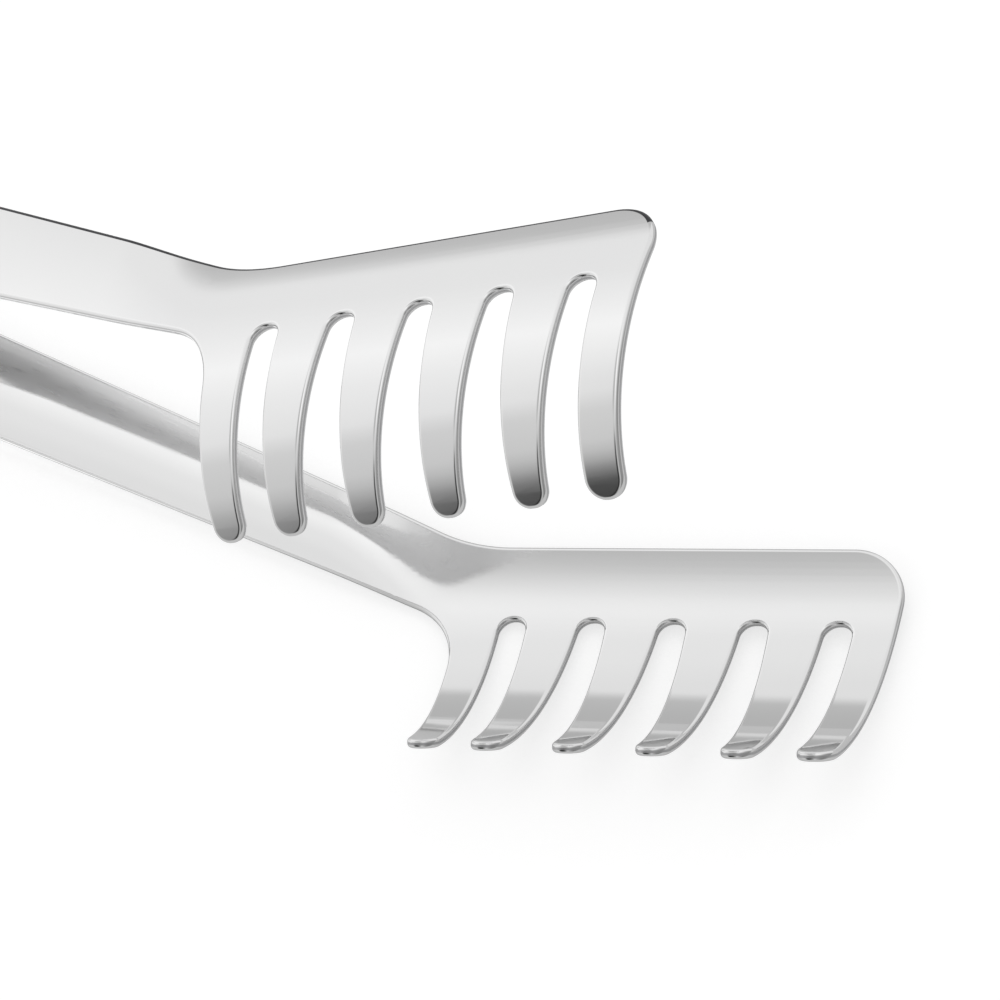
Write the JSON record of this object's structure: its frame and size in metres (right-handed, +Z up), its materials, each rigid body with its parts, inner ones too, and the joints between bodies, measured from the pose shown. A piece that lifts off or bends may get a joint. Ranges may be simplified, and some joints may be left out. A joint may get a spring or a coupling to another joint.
{
  "type": "pasta tongs",
  "caption": "Stainless steel pasta tongs with comb heads whose curved tines face each other, a sprung rivet hinge, a pull lock and a hanging loop.",
  "frame": {"origin": "on the lower arm's flat outer face, straight below the hinge axis", "axes": "+X from the hinge towards the combs, +Y along the hinge axis away from the tine tips, +Z up from the lower arm to the upper arm"},
  "size_m": [0.3137, 0.0488, 0.0729],
  "materials": {
    "polished_steel": "polished stainless sheet",
    "tab_steel": "satin",
    "spring_steel": "drawn wire"
  },
  "bodies": {
    "lower": {"lower_arm": "polished_steel", "hinge_pin": "polished_steel", "spacer_left": "tab_steel", "spacer_right": "tab_steel", "spring": "spring_steel"},
    "upper": {"upper_arm": "polished_steel"},
    "lock": {"lock_tab": "tab_steel", "lock_pin": "spring_steel"},
    "loop": {"hanging_loop": "spring_steel"}
  },
  "joints": [
    {"name": "jaw_hinge", "type": "hinge", "parent": "lower", "child": "upper", "pos_m": [0, 0, 0.0068], "axis": [0, 1, 0], "range_deg": [0, 10.8], "stiffness_Nm_per_rad": 0.5, "springref_deg": -17.19, "deforming": ["spring"]},
    {"name": "lock_slide", "type": "slide", "parent": "lower", "child": "lock", "axis": [-1, 0, 0], "range_m": [0, 0.0055]},
    {"name": "loop_swing", "type": "hinge", "parent": "lock", "child": "loop", "pos_m": [-0.019, 0, 0.0068], "axis": [0, 1, 0], "range_deg": [-95, 115]}
  ]
}
